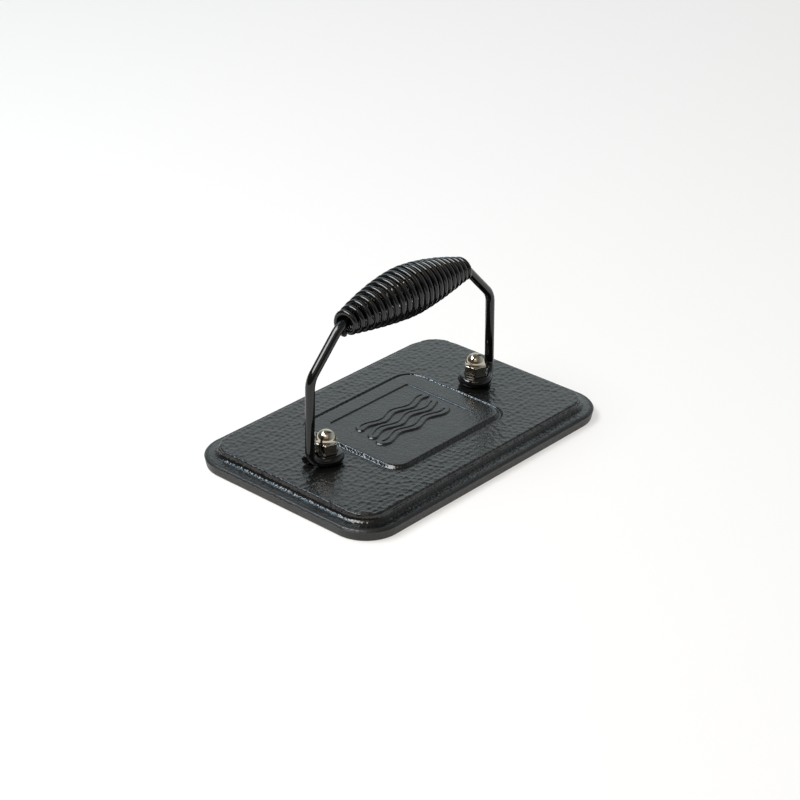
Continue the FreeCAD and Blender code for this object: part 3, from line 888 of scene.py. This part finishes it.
# Name, direction from the plate, distance and size in metres, brightness, colour
SOFTBOXES = [
    ("key_softbox", (-0.49, 0.21, 0.84), 1.2, (0.85, 0.56), 11.0, (1, 1, 1)),
    ("back_panel", (0.66, 0.59, 0.47), 1.5, (1.3, 0.85), 0.52, (0.90, 1.0, 1.02)),
    ("sky_softbox", (-0.20, 0.58, 0.79), 1.3, (0.9, 0.28), 4.6, (0.52, 0.79, 1.0)),
    ("warm_fill", (-0.44, -0.42, 0.79), 1.5, (1.1, 1.2), 0.42, (1.0, 0.83, 0.66)),
    ("warm_lamp", (-0.44, -0.30, 0.85), 1.5, (0.20, 0.26), 5.0, (1.0, 0.62, 0.28)),
]


def make_camera():
    azimuth, elevation, roll = math.radians(-48.138), math.radians(27.945), math.radians(0.412)
    distance, right_shift, up_shift = 1023.587 * MM, 1.416 * MM, -18.111 * MM
    back = Vector((
        math.sin(azimuth) * math.cos(elevation),
        -math.cos(azimuth) * math.cos(elevation),
        math.sin(elevation),
    ))
    level = (-back).cross(Vector((0, 0, 1))).normalized()
    upright = level.cross(-back)
    right = math.cos(roll) * level + math.sin(roll) * upright
    up = -math.sin(roll) * level + math.cos(roll) * upright
    place = back * distance - right * right_shift - up * up_shift
    data = bpy.data.cameras.new("camera")
    data.sensor_width = 36.0
    data.lens = 96.93
    data.clip_start, data.clip_end = 0.05, 50.0
    camera = bpy.data.objects.new("camera", data)
    columns = Matrix((right, up, back)).transposed()
    camera.matrix_world = Matrix.Translation(place) @ columns.to_4x4()
    bpy.context.scene.collection.objects.link(camera)
    bpy.context.scene.camera = camera


def soft_light(name, direction, distance, size, radiance, colour):
    """A rectangular softbox that faces the plate, given by how bright its face is."""
    data = bpy.data.lights.new(name, "AREA")
    data.shape = "RECTANGLE"
    data.size, data.size_y = size
    data.energy = radiance * math.pi * size[0] * size[1]
    data.color = colour
    light = bpy.data.objects.new(name, data)
    towards = Vector(direction).normalized()
    aim = towards.to_track_quat("Z", "Y").to_matrix().to_4x4()
    light.matrix_world = Matrix.Translation(towards * distance) @ aim
    bpy.context.scene.collection.objects.link(light)


def make_world():
    """A backdrop that is bright and cool on the plate's +X side, warm and dim on the other."""
    world = bpy.data.worlds.new("studio")
    world.use_nodes = True
    tree = world.node_tree
    background = tree.nodes["Background"]
    place = tree.nodes.new("ShaderNodeTexCoord")
    facing = tree.nodes.new("ShaderNodeVectorMath")
    facing.operation = "DOT_PRODUCT"
    facing.inputs[1].default_value = BRIGHT_SIDE
    split = tree.nodes.new("ShaderNodeSeparateXYZ")
    tree.links.new(place.outputs["Generated"], facing.inputs[0])
    tree.links.new(place.outputs["Generated"], split.inputs["Vector"])
    round_mix = spread(tree, facing.outputs["Value"], *WALL_BLEND, 0, 1)
    walls = blend_colours(tree, round_mix, WARM_DIM_WALL, COOL_BRIGHT_WALL)
    height_mix = spread(tree, split.outputs["Z"], *CEILING_BLEND, 0, 1)
    dome = tree.nodes.new("ShaderNodeMix")
    dome.data_type = "RGBA"
    dome.inputs["B"].default_value = (*DARK_CEILING, 1)
    tree.links.new(walls, dome.inputs["A"])
    tree.links.new(height_mix, dome.inputs["Factor"])
    tree.links.new(dome.outputs["Result"], background.inputs["Color"])
    bpy.context.scene.world = world


def make_floor():
    """A large pale sheet, with a faint glow of its own, just under the plate."""
    mesh = bpy.data.meshes.new("floor")
    turns = ((-1, -1), (1, -1), (1, 1), (-1, 1))
    corners = [(FLOOR_REACH * u, FLOOR_REACH * v, -FLOOR_DROP * MM) for u, v in turns]
    mesh.from_pydata(corners, [], [(0, 1, 2, 3)])
    floor = bpy.data.objects.new("floor", mesh)
    bpy.context.scene.collection.objects.link(floor)
    made = bpy.data.materials.new("floor_white")
    made.use_nodes = True
    shader = made.node_tree.nodes["Principled BSDF"]
    shader.inputs["Base Color"].default_value = FLOOR_COLOUR
    shader.inputs["Emission Color"].default_value = FLOOR_GLOW
    shader.inputs["Emission Strength"].default_value = FLOOR_GLOW_STRENGTH
    shader.inputs["Roughness"].default_value = 0.9
    shader.inputs["Specular IOR Level"].default_value = 0.0
    floor.data.materials.append(made)


def dress_studs():
    steel = stud_material()
    for node in ("stud_left", "stud_right"):
        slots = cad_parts[node].data.materials
        slots.clear()
        slots.append(steel)


bpy.context.scene.view_settings.view_transform = "Standard"
make_camera()
make_world()
make_floor()
for softbox in SOFTBOXES:
    soft_light(*softbox)
make_plate()
make_rod()
make_coil()
for nut_side, nut_x in (("left", -STUD_X), ("right", STUD_X)):
    make_nut(nut_side, nut_x)
dress_studs()
